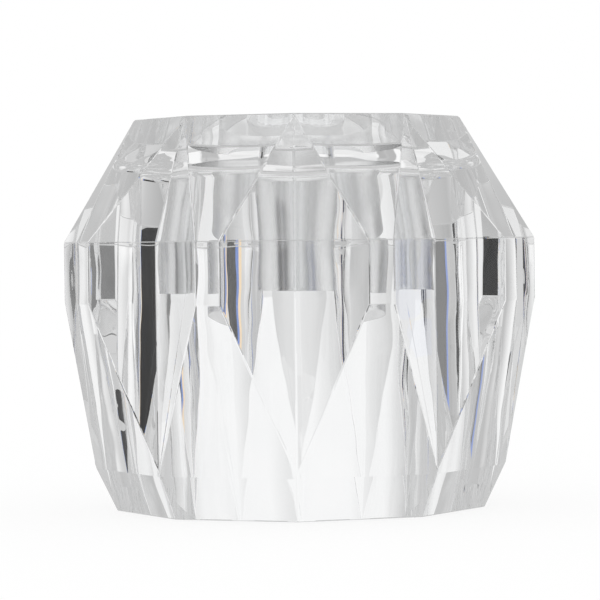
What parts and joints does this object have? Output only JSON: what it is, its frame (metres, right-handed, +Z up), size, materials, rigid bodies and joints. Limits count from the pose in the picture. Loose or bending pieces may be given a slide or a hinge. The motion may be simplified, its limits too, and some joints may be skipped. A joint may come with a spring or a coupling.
{
  "type": "tap knob",
  "caption": "Clear faceted tap knob with V-cut flutes, a round recess in its top and a splined stem bush in a boss inside its hollow skirt.",
  "frame": {"origin": "on the knob's turning axis, in the plane of the foot that it stands on", "axes": "+Z up along the turning axis, from the wall side to the recess; -Y towards the flute that faces the viewer"},
  "size_m": [0.0694, 0.0684, 0.0567],
  "materials": {
    "clear_acrylic": "polished clear acrylic"
  },
  "bodies": {
    "root": {"knob_body": "clear_acrylic", "stem_bush": "clear_acrylic"}
  },
  "joints": []
}
